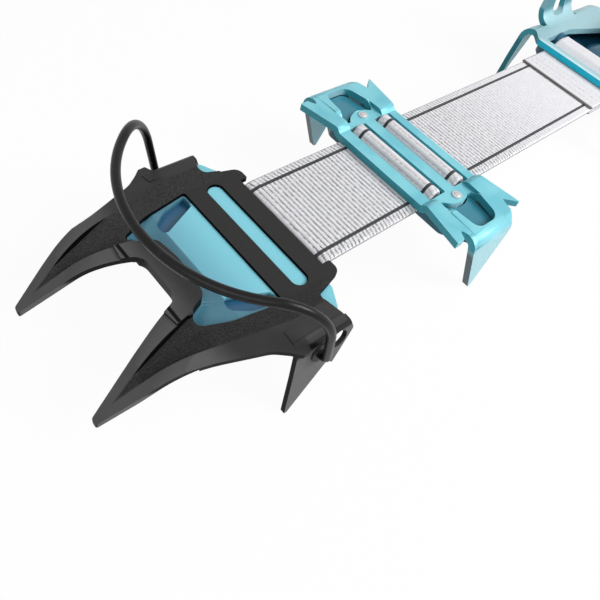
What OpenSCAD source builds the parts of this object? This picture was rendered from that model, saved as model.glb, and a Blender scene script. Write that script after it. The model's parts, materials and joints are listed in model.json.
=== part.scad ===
// Strap-linked mountaineering crampon: a steel toe section, an alloy middle
// plate and an alloy heel section, held together by one strip of webbing.
// +X points to the toe, +Y to the left, +Z up. The crampon stands on its points.
// Each section is drawn about its own datum, with z = 0 at the webbing's top face.

/* [Webbing] */
// Width of the webbing
strap_w = 45; // [38:1:50]
// Thickness of the webbing
strap_t = 1.8; // [1.4:0.1:2.2]
// Toe pivot to the middle plate's centre bar
mid_back = 87.5; // [84:0.5:110]
// Toe pivot to the front face of the heel bar
heel_back = 226.5; // [200:0.5:260]
// Toe pivot to the fold in the front stretch of webbing
front_fold_back = 42; // [38:0.5:48]
// Toe pivot to the fold in the rear stretch of webbing
rear_fold_back = 160; // [135:0.5:170]
// Thickness of the plain loop sewn round the heel rod
loop_t = 1.0; // [0.8:0.1:1.4]
// Length of the loop's sewn end in front of the heel bar
seam_len = 20.6; // [14:0.2:26]

/* [Steel toe section] */
// Thickness of the steel sheet
steel_t = 1.8; // [1.6:0.1:2.4]
// Height of the webbing's top face above the ground
stance = 28.8; // [26:0.2:34]
// Distance between the two front points
point_pitch = 46; // [42:0.5:50]
// Reach of the front points in front of the toe pivot
point_reach = 66.8; // [62:0.2:72]
// Slope of the front points below level, in degrees
point_drop = 35.5; // [30:0.5:40]
// Half width of the toe section where its sides bend down
toe_half_w = 44; // [43:0.2:48]
// Outward lean of the steel side points, in degrees
toe_lean = 11.3; // [6:0.1:14]
// Drop from the webbing's top face to the toe pivot
pivot_drop = 7.6; // [7:0.1:9]
// Spacing of the two bail positions
pivot_pitch = 8.9; // [8.4:0.1:9.6]
// Radius of the bail holes
bush_r = 3.6; // [3.2:0.05:3.8]

/* [Wire bails] */
// Diameter of the toe bail's wire
toe_wire_d = 3; // [2.6:0.1:3.4]
// Gap between the toe bail's legs and the steel side sheets
toe_bail_gap = 1.8; // [1.4:0.1:4]
// Height of the toe bail's arc above the webbing
toe_bail_rise = 25.4; // [22:0.2:30]
// Forward lean of the toe bail's legs, in degrees
toe_bail_lean = 10.6; // [6:0.2:16]
// Diameter of the heel bail's wire
heel_wire_d = 3.5; // [3:0.1:4]

/* [Alloy sections] */
// Thickness of the alloy sheet
alloy_t = 3; // [2.6:0.1:3.4]
// Half width of the middle plate over its side points
mid_half_w = 49; // [47:0.2:52]
// Length of each webbing slot in the middle plate
slot_w = 9.5; // [9:0.1:10.5]
// Width of the middle plate's centre bar
bar_w = 5.4; // [4.5:0.1:6.5]
// Half width of the heel section over its side points
heel_half_w = 42; // [41:0.2:46]
// Length of the heel plate
heel_len = 80; // [78:0.5:88]
// Radius of the heel rod inside the webbing loop
heel_rod_r = 3; // [2.4:0.1:3.4]
// Radius of the toe rod inside the webbing loop
toe_rod_r = 2; // [1.6:0.1:2.4]

/* [Heel lever] */
// Width of the heel lever
lever_w = 26; // [24:0.5:30]
// Length of the lever in front of the wire
lever_len = 48; // [44:0.5:56]
// Travel of the lever's adjuster each way from the middle
adjust_travel = 2; // [1.4:0.1:2.4]
// Diameter of the adjuster screw
screw_d = 4; // [3:0.1:4.2]
// Radius of the thumbwheel
wheel_r = 5; // [4.6:0.1:5.2]

/* [Hidden] */
$fn = 64;

seat = 0.3;            // gap at which a soft or moulded piece lies on its neighbour
run = 0.08;            // radial clearance of a turning fit
cut = 1;               // how far a cutting tool runs past a face
knit = 0.02;           // overlap of the stretches that make up one bent piece
swell = 0.012;         // how much a bend stands proud of the straight stretches beside it
deep = 60;             // depth of tools that run right through
half_strap = strap_w / 2;
strap_mid = -strap_t / 2;
fold_gap = strap_t / 2 + seat;

// Shared helpers

function unit(v) = v / norm(v);
function clamp1(v) = min(1, max(-1, v));
function turn_at(p, i) = acos(clamp1(unit(p[i] - p[i - 1]) * unit(p[i + 1] - p[i])));
function tangent_len(p, r, i) = (i == 0 || i == len(p) - 1) ? 0 : r[i] * tan(turn_at(p, i) / 2);

// Outline from corners [x, y, radius]; a radius of 0 keeps the corner sharp
function arc_corner(a, b, c, r) =
    let (u = unit(a - b), v = unit(c - b), half = acos(clamp1(u * v)) / 2,
         reach = r / tan(half), centre = b + unit(u + v) * r / sin(half),
         from = b + u * reach - centre, to = b + v * reach - centre,
         start = atan2(from[1], from[0]),
         sweep = atan2(from[0] * to[1] - from[1] * to[0], from * to), n = ceil(abs(sweep) / 12) + 1)
    [for (k = [0 : n]) centre + r * [cos(start + sweep * k / n), sin(start + sweep * k / n)]];
function xy(p) = [p[0], p[1]];
function rounded(c) =
    [for (i = [0 : len(c) - 1])
        let (a = xy(c[(i + len(c) - 1) % len(c)]), b = xy(c[i]), d = xy(c[(i + 1) % len(c)]))
        each (c[i][2] == 0 ? [b] : arc_corner(a, b, d, c[i][2]))];
// Corners of a half outline, from the rear centre to the front centre, made whole
function both_sides(half) =
    concat(half, [for (i = [len(half) - 1 : -1 : 0]) if (half[i][1] > 0) [half[i][0], -half[i][1], half[i][2]]]);

// Where the straight stretch after corner i starts, and how long it is, with a
// little more at both ends to grow into the bends beside it
function stretch_from(p, r, i) = tangent_len(p, r, i) - (i == 0 ? 0 : knit);
function stretch_len(p, r, i) = norm(p[i + 1] - p[i]) - stretch_from(p, r, i)
    - tangent_len(p, r, i + 1) + (i + 1 == len(p) - 1 ? 0 : knit);

// Flat strip of thickness t bent along a path, seen from its edge
module bent_strip(path, radii, t) {
    last = len(path) - 1;
    for (i = [0 : last - 1]) {
        u = unit(path[i + 1] - path[i]);
        translate(path[i] + u * stretch_from(path, radii, i))
            rotate(atan2(u[1], u[0]))
                translate([0, -t / 2]) square([stretch_len(path, radii, i), t]);
    }
    for (i = [1 : last - 1]) {
        u = unit(path[i] - path[i - 1]);
        v = unit(path[i + 1] - path[i]);
        side = sign(u[0] * v[1] - u[1] * v[0]);
        r = radii[i];
        far = 3 * (r + t);
        centre = path[i] - u * tangent_len(path, radii, i) + side * r * [-u[1], u[0]];
        from = side * [u[1], -u[0]];
        to = side * [v[1], -v[0]];
        translate(centre) intersection() {
            difference() {
                circle(r + t / 2 + swell);
                circle(r - t / 2 - swell);
            }
            polygon([[0, 0], far * from, far * unit(from + to), far * to]);
        }
    }
}

// Round wire bent along a path in space
module bent_wire(path, radii, d) {
    $fn = 30;
    last = len(path) - 1;
    for (i = [0 : last - 1]) {
        u = unit(path[i + 1] - path[i]);
        translate(path[i] + u * stretch_from(path, radii, i))
            rotate([0, acos(clamp1(u[2])), atan2(u[1], u[0])])
                cylinder(d = d, h = stretch_len(path, radii, i));
    }
    for (i = [1 : last - 1]) {
        u = unit(path[i] - path[i - 1]);
        v = unit(path[i + 1] - path[i]);
        inward = unit(v - u * (u * v));
        axis = cross(-inward, u);
        centre = path[i] - u * tangent_len(path, radii, i) + inward * radii[i];
        translate(centre)
            rotate([atan2(u[2], axis[2]), asin(clamp1(inward[2])), atan2(-inward[1], -inward[0])])
                rotate_extrude(angle = turn_at(path, i))
                    translate([radii[i], 0]) circle(d = d + 2 * swell);
    }
}

// A path in the X-Z plane swept across the width, centred on Y = 0
module across(width) { rotate([90, 0, 0]) translate([0, 0, -width / 2]) linear_extrude(width) children(); }
// A cross-section in the Y-Z plane swept along X from x0 to x1
module along_x(x0, x1) {
    translate([x0, 0, 0]) rotate([90, 0, 90]) linear_extrude(x1 - x0) children();
}
// A pin or a drill along Y, through the point [x, z]
module y_pin(x, z, r, from, to) { translate([x, from, z]) rotate([-90, 0, 0]) cylinder(r = r, h = to - from); }
module pair() { children(); mirror([0, 1, 0]) children(); }
module plan(corners, z0, z1) { translate([0, 0, z0]) linear_extrude(z1 - z0) polygon(rounded(corners)); }

// Toe section, drawn about the toe pivot

deck_z = 1.5;                          // top of the flat deck
rim_z = 3.1;                           // top of the rims beside the grooves
bridge_z = 3.8;                        // top of the bridge between the front points
point_y = point_pitch / 2;
bend_start = point_reach - 32.5;       // where the points begin to curve down
bend_r = 28;                           // radius of that curve on its top face
groove_back = 31;                      // rear end of the grooves
groove_tip = point_reach - 12.4;       // front end of the grooves
groove_half = 6.4;                     // half width of a groove at its rear end
trough_t = 1.4;                        // thickness of the drawn sheet round a groove
crest_y = toe_half_w - 8.8;            // ridge where the deck turns down to the side
crest_kink = 5;                        // in front of this the ridge runs inwards
crest_slope = 12.1;                    // by this many degrees
crest_z = 3.0;
side_fall = 13.5;                      // fall of the shoulder outside the ridge
deck_fall = 11;                        // fall of the deck inside the ridge
side_bend_r = 3.2;                     // bend radius at the middle of the sheet

function crest_at(x) = crest_y - max(0, x - crest_kink) * tan(crest_slope);
// Centreline of the side flange, and the corner where the shoulder meets it
flange_mid_y = toe_half_w - steel_t / 2 / cos(toe_lean) - 1.2 * tan(toe_lean);
function flange_y(z) = flange_mid_y - z * tan(toe_lean);
shoulder_mid_z = crest_z - steel_t / 2 / cos(side_fall);
side_corner_z = (shoulder_mid_z - tan(side_fall) * (flange_mid_y - crest_y))
                / (1 - tan(side_fall) * tan(toe_lean));
side_corner = [flange_y(side_corner_z), side_corner_z];
shoulder_end = side_corner[0] - side_bend_r * 0.75;

bar_rear = -19;
lobe_rear = -22.2;
claw_front = point_reach - 36.6;       // front edge of the bridge between the points
toe_outline = both_sides([
    [bar_rear, 0, 0], [bar_rear, half_strap + 0.3, 0], [lobe_rear, half_strap + 0.3, 0.6],
    [lobe_rear, half_strap + 5.6, 3.4], [-8.8, half_strap + 9.4, 3], [-8.5, crest_y - 0.7, 0],
    [-12.4, toe_half_w + 1, 0], [-12.4, toe_half_w + 2, 0],
    [9, toe_half_w + 2, 0], [12, toe_half_w - 0.8, 3], [16.6, toe_half_w - 4.3, 12],
    [34, point_y + 10.3, 60], [54.4, point_y + 5.1, 60], [point_reach, point_y + 1.2, 0.9],
    [point_reach, point_y - 1.2, 0.9], [46.4, point_y - 7.2, 60], [claw_front, 9.4, 5], [claw_front, 0, 0]]);
// The window and the slot, with their edges drawn in by g
function toe_window(g) = both_sides([
    [2 + g, 0, 0], [2 + g, half_strap + 5.2 - g, 1], [20, half_strap + 2.1 - g, 14],
    [30.8 - g, point_y - 2.8 - g / 2, 2.6], [28.9 - g, point_y - 7.4 + g / 2, 2.4],
    [22.6 - g, point_y - 10.2 + g / 2, 3.5], [21.3 - g, 4, 10], [21.3 - g, 0, 0]]);
function toe_slot(g) = both_sides([[-11.4 + g, 0, 0], [-11.4 + g, half_strap + 3.5 - g, 3.1 - g],
    [-5 - g, half_strap + 3.5 - g, 3.1 - g], [-5 - g, 0, 0]]);

function groove(grow) = let (tip = groove_tip + grow, half = groove_half + grow)
    [[groove_back - grow, point_y - half, 0], [tip, point_y - 1.3 - grow / 2, 1 + grow / 2],
     [tip, point_y + 1.3 + grow / 2, 1 + grow / 2], [groove_back - grow, point_y + half, 0]];

// Everything below the top face of the front points, seen from the side
module under_points(inset) {
    r = bend_r - inset;
    centre = [bend_start, rim_z - bend_r];
    tangent = centre + r * [sin(point_drop), cos(point_drop)];
    tail = tangent + 40 * [cos(point_drop), -sin(point_drop)];
    translate([-deep, -deep]) square([deep + bend_start, deep + rim_z - inset]);
    translate(centre) circle(r);
    polygon([tangent, tail, [tail[0], -deep], [bend_start, -deep], centre]);
}
groove_fall = atan((deck_z - rim_z + bend_r * (1 - cos(point_drop))
    + (groove_tip - bend_start - bend_r * sin(point_drop)) * tan(point_drop)) / (groove_tip - groove_back));
// Everything above the groove's floor, sunk by the sheet's thickness or not
module above_floor(sink) {
    translate([groove_back, deck_z]) rotate(-groove_fall) translate([-deep, -sink]) square([2 * deep, deep]);
}

// The same on the groove's outer side, where the floor rises with the deck behind it
module above_outer_floor(sink) {
    translate([groove_back, crest_at(groove_back) - (crest_z - deck_z) / tan(deck_fall), deck_z - sink])
        rotate([0, groove_fall, 0]) rotate([deck_fall, 0, 0]) translate([-deep, -deep, 0]) cube([2 * deep, 2 * deep, deep]);
}
// Everything above the slope outside the ridge, also where the points run on in front of it
module above_shoulder() {
    translate([crest_kink, crest_y, crest_z]) rotate(-crest_slope)
        rotate([-atan(tan(side_fall) / cos(crest_slope)), 0, 0]) translate([0, -2, 0]) cube([2 * deep, deep, deep]);
}

module points_sheet() {
    difference() {
        intersection() {
            across(2 * deep) difference() { under_points(0); under_points(steel_t); }
            plan(both_sides([[15, 0, 0], [15, 16.6, 0], [groove_back, 16.6, 0], [groove_back + 3, 60, 0],
                             [deep + 20, 60, 0], [deep + 20, 0, 0]]), -deep, deep);
        }
        pair() above_shoulder();
    }
    // The bridge stands a little higher than the rims
    plan(both_sides([[15, 0, 0], [15, 16.6, 0], [groove_back, 17, 0], [groove_back + 4.4, 17.8, 0],
                     [groove_back + 5.6, 9, 0], [groove_back + 5.6, 0, 0]]), bridge_z - steel_t, bridge_z);
    pair() difference() {
        intersection() {
            across(2 * deep) intersection() { under_points(0); above_floor(trough_t); }
            above_outer_floor(trough_t);
            plan(groove(trough_t), -deep, deep);
        }
        above_shoulder();
        // Behind the groove the deck is clear
        translate([groove_back - deep, -deep, deck_z]) cube([deep, 2 * deep, deep]);
    }
}
module groove_cavity() {
    pair() intersection() {
        across(2 * deep) above_floor(0);
        above_outer_floor(0);
        plan(groove(0), -deep, deep);
    }
}
// One sloping sheet outside and one inside the ridge, from x0 to x1
module ridge(x0, x1, slope) {
    length = (x1 - x0) / cos(slope);
    translate([x0, crest_at(x0), crest_z]) rotate(-slope) {
        rotate([-atan(tan(side_fall) / cos(slope)), 0, 0])
            translate([-cut, 0, -steel_t]) cube([length + 2 * cut, 12, steel_t]);
        rotate([deck_fall, 0, 0])
            translate([-cut, -9, -steel_t]) cube([length + 2 * cut, 9, steel_t]);
    }
}
module shoulders() {
    pair() {
        intersection() {
            ridge(-14, crest_kink, 0);
            translate([-20, 0, -deep]) cube([20 + crest_kink, shoulder_end, 2 * deep]);
        }
        intersection() {
            ridge(crest_kink, groove_back + 5, crest_slope);
            translate([crest_kink, 0, -deep]) cube([deep, deep, 2 * deep]);
        }
        // Outside the ridge the shoulder runs on until the point dips below it
        intersection() {
            ridge(crest_kink, groove_back + 13, crest_slope);
            across(2 * deep) under_points(0);
            plan([[groove_back, crest_at(groove_back), 0], [deep, crest_at(deep), 0], [deep, deep, 0],
                  [groove_back, deep, 0]], -deep, deep);
        }
    }
}
module side_points() {
    start = [crest_y + 1.5, shoulder_mid_z - 1.5 * tan(side_fall)];
    foot = -stance - 2;
    tip_x = 13.2;
    outline = [[-12.5, 6, 0], [-12.5, 0.5, 0], [-13.9, -2.2, 2], [-15.6, -6.2, 1.6], [-7, -18, 0.6],
               [-4.6, -15, 0.5], [tip_x - 0.6, -stance, 0], [tip_x + 0.6, -stance, 0], [11.2, -13, 30],
               [9.8, -3, 6], [10.2, 6, 0]];
    pair() difference() {
        intersection() {
            along_x(-20, 20)
                bent_strip([start, side_corner, [flange_y(foot), foot]], [0, side_bend_r, 0], steel_t);
            rotate([90, 0, 0]) translate([0, 0, -deep]) linear_extrude(deep) polygon(rounded(outline));
        }
        // The rear edge of the shoulder runs on over the bend
        translate([0, 0, -0.5]) linear_extrude(deep)
            polygon([[-8.5, crest_y - 0.7], [-12.4, toe_half_w + 1], [-deep, toe_half_w + 1], [-deep, crest_y - 0.7]]);
    }
}
// Square to the leaning side sheet, at the height of the toe pivot
module square_to_side(x) { translate([x, flange_y(-pivot_drop), -pivot_drop]) rotate([toe_lean - 90, 0, 0]) children(); }
module bail_holes() {
    pair() for (x = [0, -pivot_pitch]) square_to_side(x) cylinder(r = bush_r, h = 12, center = true);
}

module front_frame_solid() {
    difference() {
        union() {
            intersection() {
                union() {
                    plan(both_sides([[-30, 0, 0], [-30, half_strap + 7, 0], [-8.6, half_strap + 10.5, 0],
                                     [groove_back + 0.5, half_strap + 2, 0],
                                     [groove_back + 0.5, 0, 0]]), deck_z - steel_t, deck_z);
                    shoulders();
                    points_sheet();
                }
                plan(toe_outline, -deep, deep);
            }
            side_points();
        }
        plan(toe_window(0), -deep, deep);
        plan(toe_slot(0), -deep, deep);
        groove_cavity();
        bail_holes();
    }
}

guard_t = 2;
guard_top = deck_z - steel_t - seat;
toe_rod_x = -8;
toe_loop_r = toe_rod_r + 0.15 + strap_t / 2;       // webbing's middle, round the rod
toe_run_z = guard_top - guard_t - 0.6 - strap_t / 2;
toe_rod_z = toe_run_z - toe_loop_r;
cheek_in = half_strap + 1.2;
cheek_t = 3;

plug_top = deck_z - 1;                 // top of the raised panel in the window and the slot
panel_front = 17;                      // front edge of that panel
panel_fall = 17;                       // slope of the guard in front of it, in degrees
pocket_floor = plug_top - 2.6;
// Half space above the slope in front of the panel, lowered by sink
module above_slope(sink) {
    across(2 * deep) translate([panel_front, plug_top]) rotate(-panel_fall) translate([0, -sink]) square([deep, deep]);
}
module front_guard_solid() {
    pocket = [[3, half_strap - 0.7, 0.6], [panel_front + 0.6, 15.2, 1.5], [panel_front + 1.2, 20.4, 3],
              [12.6, half_strap + 2, 8], [3, half_strap + 4.2, 0.6]];
    tray = [[2, half_strap - 2.4, 1], [panel_front + 2.6, 13, 1], [panel_front + 3.2, 22.4, 3],
            [12.6, half_strap + 3.6, 8], [2, half_strap + 5.8, 1]];
    difference() {
        union() {
            plan(both_sides([[-16.7, 0, 0], [-16.7, toe_half_w - 13, 3.5], [-12.4, toe_half_w - 5.4, 2],
                             [6, toe_half_w - 4, 5], [30.5, toe_half_w - 16, 5], [30.5, 13.5, 1.5],
                             [claw_front - 6, 11, 2], [claw_front - 6, 0, 0]]),
                 guard_top - guard_t, guard_top);
            plan(toe_window(seat), guard_top - cut, plug_top);
            plan(toe_slot(seat), guard_top - cut, plug_top);
            intersection() {
                plan(toe_window(-1.4), -deep, guard_top);
                above_slope(guard_t);
            }
            // Trays beside the raised panel, and the cheeks that hold the rod
            pair() {
                plan(tray, pocket_floor - guard_t + 0.4, guard_top - guard_t + 0.1);
                difference() {
                    translate([toe_rod_x - 5, cheek_in, toe_rod_z]) cube([10, cheek_t, guard_top - 1 - toe_rod_z]);
                    translate([-deep, -deep, guard_top - cut]) cube([2 * deep, 2 * deep, deep]);
                }
                y_pin(toe_rod_x, toe_rod_z, 5, cheek_in, cheek_in + cheek_t);
            }
        }
        intersection() {
            plan(toe_window(seat), -deep, deep);
            above_slope(0);
        }
        pair() plan(pocket, pocket_floor, deep);
        // Room for the frame's grooves and bridge
        translate([groove_back - 2.4, -deep, guard_top - 1.2]) cube([deep, 2 * deep, deep]);
        y_pin(toe_rod_x, toe_rod_z, toe_rod_r + 0.05, -deep, deep);
    }
}

bush_in = 3;                           // reach of a bush inside and outside the sheet's middle
bush_out = 1.5;
module bail_bush() {
    difference() {
        square_to_side(0) translate([0, 0, -bush_in]) cylinder(r = bush_r - 0.02, h = bush_in + bush_out);
        y_pin(0, -pivot_drop, toe_wire_d / 2 + run, 0, deep);
    }
}

toe_bail_half = flange_y(-pivot_drop) + (steel_t + toe_wire_d) / 2 + toe_bail_gap;
toe_bail_arc = toe_bail_half + 0.8;    // radius of the front arc
toe_bend_r = 20;                       // radius at the top of each leg
leg_top = toe_bail_rise + pivot_drop;
leg_x = leg_top * tan(toe_bail_lean);
// The arc's centre lies so far behind the legs' tops that the arc leads into them
toe_arc_x = leg_x - 20;
arc_reach = norm([leg_x - toe_arc_x, toe_bail_half]);
arc_half = atan2(toe_bail_half, leg_x - toe_arc_x) - acos(toe_bail_arc / arc_reach);
arc_nose = toe_arc_x + toe_bail_arc / cos(arc_half);
wire_in = flange_y(-pivot_drop) - bush_in - 1.4;
module toe_bail_solid() {
    half = [[0, wire_in, -pivot_drop], [0, toe_bail_half, -pivot_drop], [leg_x, toe_bail_half, toe_bail_rise]];
    path = concat(half, [[arc_nose, 0, toe_bail_rise]], [for (i = [2 : -1 : 0]) [half[i][0], -half[i][1], half[i][2]]]);
    bent_wire(path, [0, 2.4, toe_bend_r, toe_bail_arc, toe_bend_r, 2.4, 0], toe_wire_d);
}

// Webbing from the toe rod to the fold in front of the middle plate
module front_strap_solid() {
    front = toe_rod_x + toe_loop_r;
    under = toe_rod_z - toe_loop_r;
    sewn_z = toe_run_z - strap_t + 0.1;
    across(strap_w) {
        bent_strip([[-front_fold_back, strap_mid], [lobe_rear - 0.6, strap_mid], [lobe_rear + 5.5, toe_run_z],
                    [front, toe_run_z], [front, under], [toe_rod_x - 2.5, under],
                    [toe_rod_x - 5.6, sewn_z], [toe_rod_x - 9, sewn_z]],
                   [0, 6, 6, toe_loop_r, toe_loop_r, 2, 2, 0], strap_t);
        translate([-front_fold_back, strap_mid]) circle(strap_t / 2);
    }
}

// Middle section, drawn about the centre bar

slot_x = bar_w / 2 + slot_w / 2;
rail_z = seat + alloy_t;               // top of the bars over the webbing
wing_z = rail_z + 1.9;                 // top of the wings
front_rail = bar_w / 2 + slot_w + 5.5;
rear_rail = -(bar_w / 2 + slot_w + 4.1);
rivet_y = half_strap + 4.5;
rivet_r = 1.5;
alloy_lean = 4;
mid_bend_r = 4;
mid_flange_y = mid_half_w - alloy_t / 2;

hump_slope = 58;                       // how steeply the webbing climbs through a slot
hump_r = 1.9;
hump_edge = slot_w / 2 - 0.25 - strap_t / 2 / sin(hump_slope);
hump_peak = seat + hump_edge * tan(hump_slope);
hump_foot = hump_edge + (seat - strap_mid) / tan(hump_slope);

function hump(x) = [[x + hump_foot, strap_mid], [x, hump_peak], [x - hump_foot, strap_mid]];
module mid_strap_solid() {
    path = concat([[mid_back - front_fold_back - fold_gap, strap_mid]], hump(slot_x), hump(-slot_x),
                  [[mid_back - rear_fold_back + fold_gap, strap_mid]]);
    across(strap_w) bent_strip(path, [0, 1.2, hump_r, 1.2, 1.2, hump_r, 1.2, 0], strap_t);
}

wing_fall = 0.9;                       // fall of a wing from its inner to its outer edge
wing_corner = [mid_flange_y, wing_z - alloy_t / 2 - wing_fall];
foot_z = -stance - 2;
wing_tail = [[mid_flange_y + (wing_corner[1] - foot_z) * tan(alloy_lean), foot_z]];
mid_outline = both_sides([
    [rear_rail, 0, 0], [rear_rail, 24, 3], [rear_rail - 4, 44.2, 0.3], [-14.4, 38.8, 0.4], [-13.2, 44, 3],
    [-10.4, mid_half_w - 1, 0], [-10.4, deep, 0], [13.9, deep, 0], [13.9, 43, 0], [15, 40.6, 0.4],
    [front_rail - 0.7, 44.3, 0.3], [front_rail + 3.2, 44.3, 0.4], [front_rail, 24.5, 4], [front_rail, 0, 0]]);

module wing_sheet(x0, x1, step_y) {
    path = concat([[0, rail_z - alloy_t / 2], [step_y, rail_z - alloy_t / 2],
                   [step_y + 2, wing_z - alloy_t / 2], wing_corner], wing_tail);
    pair() along_x(x0, x1) bent_strip(path, [0, 1.6, 1.6, mid_bend_r, 0], alloy_t);
}
module mid_spike_cut() {
    tip = -0.2;
    side = [[30, 10, 0], [30, -0.6, 0], [13.9, -0.6, 0.1], [12.2, -4, 10], [tip + 0.7, -stance, 0],
            [tip - 0.7, -stance, 0], [-9.4, -4, 6], [-10.4, 1.8, 0.1], [-30, 1.8, 0], [-30, 10, 0]];
    rotate([90, 0, 0]) translate([0, 0, -deep]) linear_extrude(2 * deep) polygon(rounded(side));
}
// The rivets sit on a low island between the slots and the windows
island_front = 11.5;
island_rear = -8;
island_r = 9.4;
island_x = 0.5;
// Window of a wing, with its edges drawn in by g
function mid_window(g) = [[10 - g, half_strap + 3.6 + g, 0.5], [7.3 - g, mid_half_w - 5.1 - g, 4 - g],
    [-5.2 + g, mid_half_w - 5.1 - g, 4.5 - g], [-7.6 + g, half_strap + 7.4 + g, 1.5], [-5 + g, half_strap + 4.6 + g, 0.5]];
module mid_plate_solid() {
    difference() {
        intersection() {
            union() {
                wing_sheet(island_front, 26, half_strap + 1.2);
                wing_sheet(-26, island_rear, half_strap + 1.2);
                wing_sheet(island_rear - knit, island_front + knit, half_strap + 8.3);
            }
            plan(mid_outline, -deep, deep);
            mid_spike_cut();
        }
        for (x = [slot_x, -slot_x])
            plan([[x - slot_w / 2, -half_strap - 0.6, 0.8], [x + slot_w / 2, -half_strap - 0.6, 0.8],
                  [x + slot_w / 2, half_strap + 0.6, 0.8], [x - slot_w / 2, half_strap + 0.6, 0.8]], -cut, deep);
        pair() difference() {
            plan(mid_window(0), -cut, deep);
            translate([island_x, rivet_y - 6, -deep]) cylinder(r = island_r, h = 2 * deep);
        }
        pair() translate([0, rivet_y, -cut]) cylinder(r = rivet_r, h = deep);
    }
}

mid_guard_top = -strap_t - seat;
mid_guard_t = 2.2;
mid_wing_under = wing_z - alloy_t - seat;
mid_rim_top = mid_wing_under - wing_fall - 0.5;
mid_skirt = 2.5;
function mid_guard_edge(g) = both_sides([
    [rear_rail + 1 - g, 0, 0], [rear_rail + 1 - g, mid_half_w - 9 + g, 3], [-9 - g, mid_half_w - 3.6 + g, 2],
    [3 + g, mid_half_w - 3.6 + g, 2], [slot_x + 4.5 + g, half_strap + 10 + g, 4], [slot_x + 4.5 + g, 0, 0]]);
module ridge_rib(x) {
    top = hump_peak - hump_r * (1 / cos(hump_slope) - 1) - strap_t / 2 - seat;
    r = 0.8;
    translate([x, 0]) across(strap_w - 4) {
        polygon([[-2.2, mid_guard_top - 0.5], [2.2, mid_guard_top - 0.5], [r, top - r], [-r, top - r]]);
        translate([0, top - r]) circle(r);
    }
}
module mid_guard_solid() {
    difference() {
        union() {
            plan(mid_guard_edge(0), mid_guard_top - mid_guard_t - mid_skirt, mid_guard_top);
            // Rim along each side, and the block that fills the window up to the island
            pair() {
                intersection() {
                    difference() {
                        plan(mid_guard_edge(0), mid_guard_top - cut, mid_rim_top);
                        plan(mid_guard_edge(-1.4), -deep, deep);
                    }
                    translate([-8.6, mid_half_w - 6.5, -deep]) cube([20, deep, 2 * deep]);
                }
                difference() {
                    plan(mid_window(0.7), mid_guard_top - cut, mid_wing_under - 0.4);
                    translate([island_x, rivet_y - 6, -deep]) cylinder(r = island_r + 0.7, h = 2 * deep);
                }
            }
            for (x = [slot_x, -slot_x]) ridge_rib(x);
            pair() translate([0, rivet_y, rivet_low]) cylinder(r = 4, h = seat - rivet_low);
        }
        difference() {
            plan(mid_guard_edge(-2), -deep, mid_guard_top - mid_guard_t);
            pair() translate([0, rivet_y, -deep]) cylinder(r = 4, h = deep);
        }
        pair() translate([0, rivet_y, -deep]) cylinder(r = rivet_r, h = 2 * deep);
        pair() translate([0, rivet_y, -deep]) cylinder(r = 5, h = deep + rivet_low);
    }
}
rivet_low = mid_guard_top - mid_guard_t - 2;
washer_t = 0.6;
module rivet_solid(top) {
    translate([0, 0, rivet_low - washer_t]) cylinder(r = rivet_r - 0.02, h = top - rivet_low + washer_t);
    translate([0, 0, top]) cylinder(r = 2.1, h = 0.5);
    translate([0, 0, rivet_low - washer_t - 0.9]) cylinder(r = 2.3, h = 0.9);
}
module washer_solid() {
    translate([0, 0, rivet_low - washer_t]) difference() {
        cylinder(r = 3.4, h = washer_t);
        translate([0, 0, -cut]) cylinder(r = rivet_r + 0.05, h = washer_t + 2 * cut);
    }
}

// Heel section, drawn about the front face of the heel bar

heel_under = loop_t + 0.05 + seat;     // underside of the heel plate
heel_top = heel_under + alloy_t;
heel_mid = heel_under + alloy_t / 2;
heel_bar_w = 5;
heel_rod_x = -20;
heel_loop_r = heel_rod_r + 0.15 + loop_t / 2;
heel_rod_z = 0.4;
spike_front = -6.2;
ear_front = -18.3;
ear_rear = -49;
ear_out = 43.8;                        // middle of the ear's sheet near its top
bail_x = -36;
bail_z = 20.5;
heel_bail_half = ear_out + alloy_t / 2 + heel_wire_d / 2 + 1.1;
lever_under = 5.2;                     // lever's underside below the wire
lever_rear = 9.6;                      // lever's reach behind the wire
wire_x = -heel_len - adjust_travel - lever_rear - 1.4;
wire_z = heel_top + seat + lever_under;

module rear_strap_solid() {
    fold_x = heel_back - rear_fold_back;
    across(strap_w) {
        translate([-9, -strap_t]) square([fold_x + 9, strap_t]);
        translate([fold_x, strap_mid]) circle(strap_t / 2);
    }
}
module heel_loop_solid() {
    top = heel_rod_z + heel_loop_r;
    low = heel_rod_z - heel_loop_r;
    back = heel_rod_x - heel_loop_r;
    over = 0.05 + loop_t / 2;
    beneath = -strap_t - over;
    across(strap_w) bent_strip([[seam_len, over], [-7, over], [-13, top], [back, top], [back, low],
                                [-13, low], [-10, beneath], [seam_len, beneath]],
                               [0, 4, 4, heel_loop_r, heel_loop_r, 3, 3, 0], loop_t);
}

rear_spike = -heel_len + 6;            // rear edge of the rear side points
heel_outline = both_sides([
    [-heel_len, 0, 0], [-heel_len, half_strap + 1.5, 8], [rear_spike, heel_half_w - 6, 5], [rear_spike, deep, 0], [spike_front, deep, 0],
    [spike_front, heel_half_w - 8, 3], [0, half_strap + 5.5, 3], [0, 0, 0]]);
heel_window = both_sides([[-58, 0, 0], [-58, 16, 7], [-30, half_strap + 3.5, 10], [-heel_bar_w, half_strap + 3.5, 2.5], [-heel_bar_w, 0, 0]]);

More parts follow.
